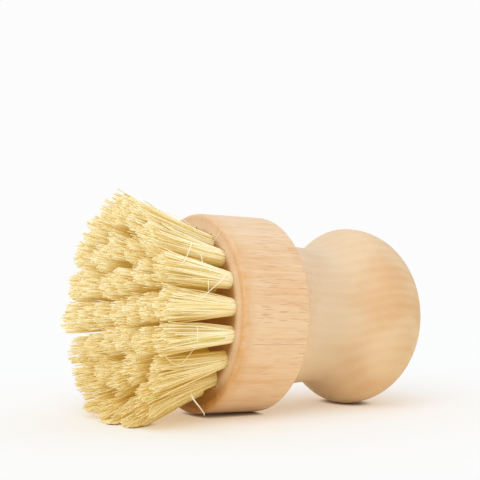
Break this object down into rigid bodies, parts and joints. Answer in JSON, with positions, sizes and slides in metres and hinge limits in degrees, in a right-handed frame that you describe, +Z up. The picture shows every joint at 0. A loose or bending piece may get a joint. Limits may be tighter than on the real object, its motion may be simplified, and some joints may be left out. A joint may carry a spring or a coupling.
{
  "type": "dish brush",
  "caption": "Palm-held dish brush: turned wooden head, neck and ball knob in one piece, with splayed plant-fibre tufts set in the flat face.",
  "frame": {"origin": "middle of the part's box, on the surface that the brush lies on", "axes": "+Z up, +X from the bristles towards the knob, and +Y across the brush; it lies on its side with its own axis tipped down 2.4 degrees towards the knob"},
  "size_m": [0.0912, 0.0562, 0.0548],
  "materials": {
    "wood": "bare fine-sanded pale hardwood",
    "fibre": "dry stiff plant fibre, cream to straw yellow",
    "anchor_wire": "flat drawn wire"
  },
  "bodies": {
    "root": {"tuft_anchors": "anchor_wire", "tuft_centre": "fibre", "tuft_inner_01": "fibre", "tuft_inner_02": "fibre", "tuft_inner_03": "fibre", "tuft_inner_04": "fibre", "tuft_inner_05": "fibre", "tuft_inner_06": "fibre", "tuft_middle_01": "fibre", "tuft_middle_02": "fibre", "tuft_middle_03": "fibre", "tuft_middle_04": "fibre", "tuft_middle_05": "fibre", "tuft_middle_06": "fibre", "tuft_middle_07": "fibre", "tuft_middle_08": "fibre", "tuft_middle_09": "fibre", "tuft_middle_10": "fibre", "tuft_middle_11": "fibre", "tuft_middle_12": "fibre", "tuft_outer_01": "fibre", "tuft_outer_02": "fibre", "tuft_outer_03": "fibre", "tuft_outer_04": "fibre", "tuft_outer_05": "fibre", "tuft_outer_06": "fibre", "tuft_outer_07": "fibre", "tuft_outer_08": "fibre", "tuft_outer_09": "fibre", "tuft_outer_10": "fibre", "tuft_outer_11": "fibre", "tuft_outer_12": "fibre", "tuft_outer_13": "fibre", "tuft_outer_14": "fibre", "tuft_outer_15": "fibre", "tuft_outer_16": "fibre", "tuft_outer_17": "fibre", "tuft_outer_18": "fibre", "turned_handle": "wood"}
  },
  "joints": []
}
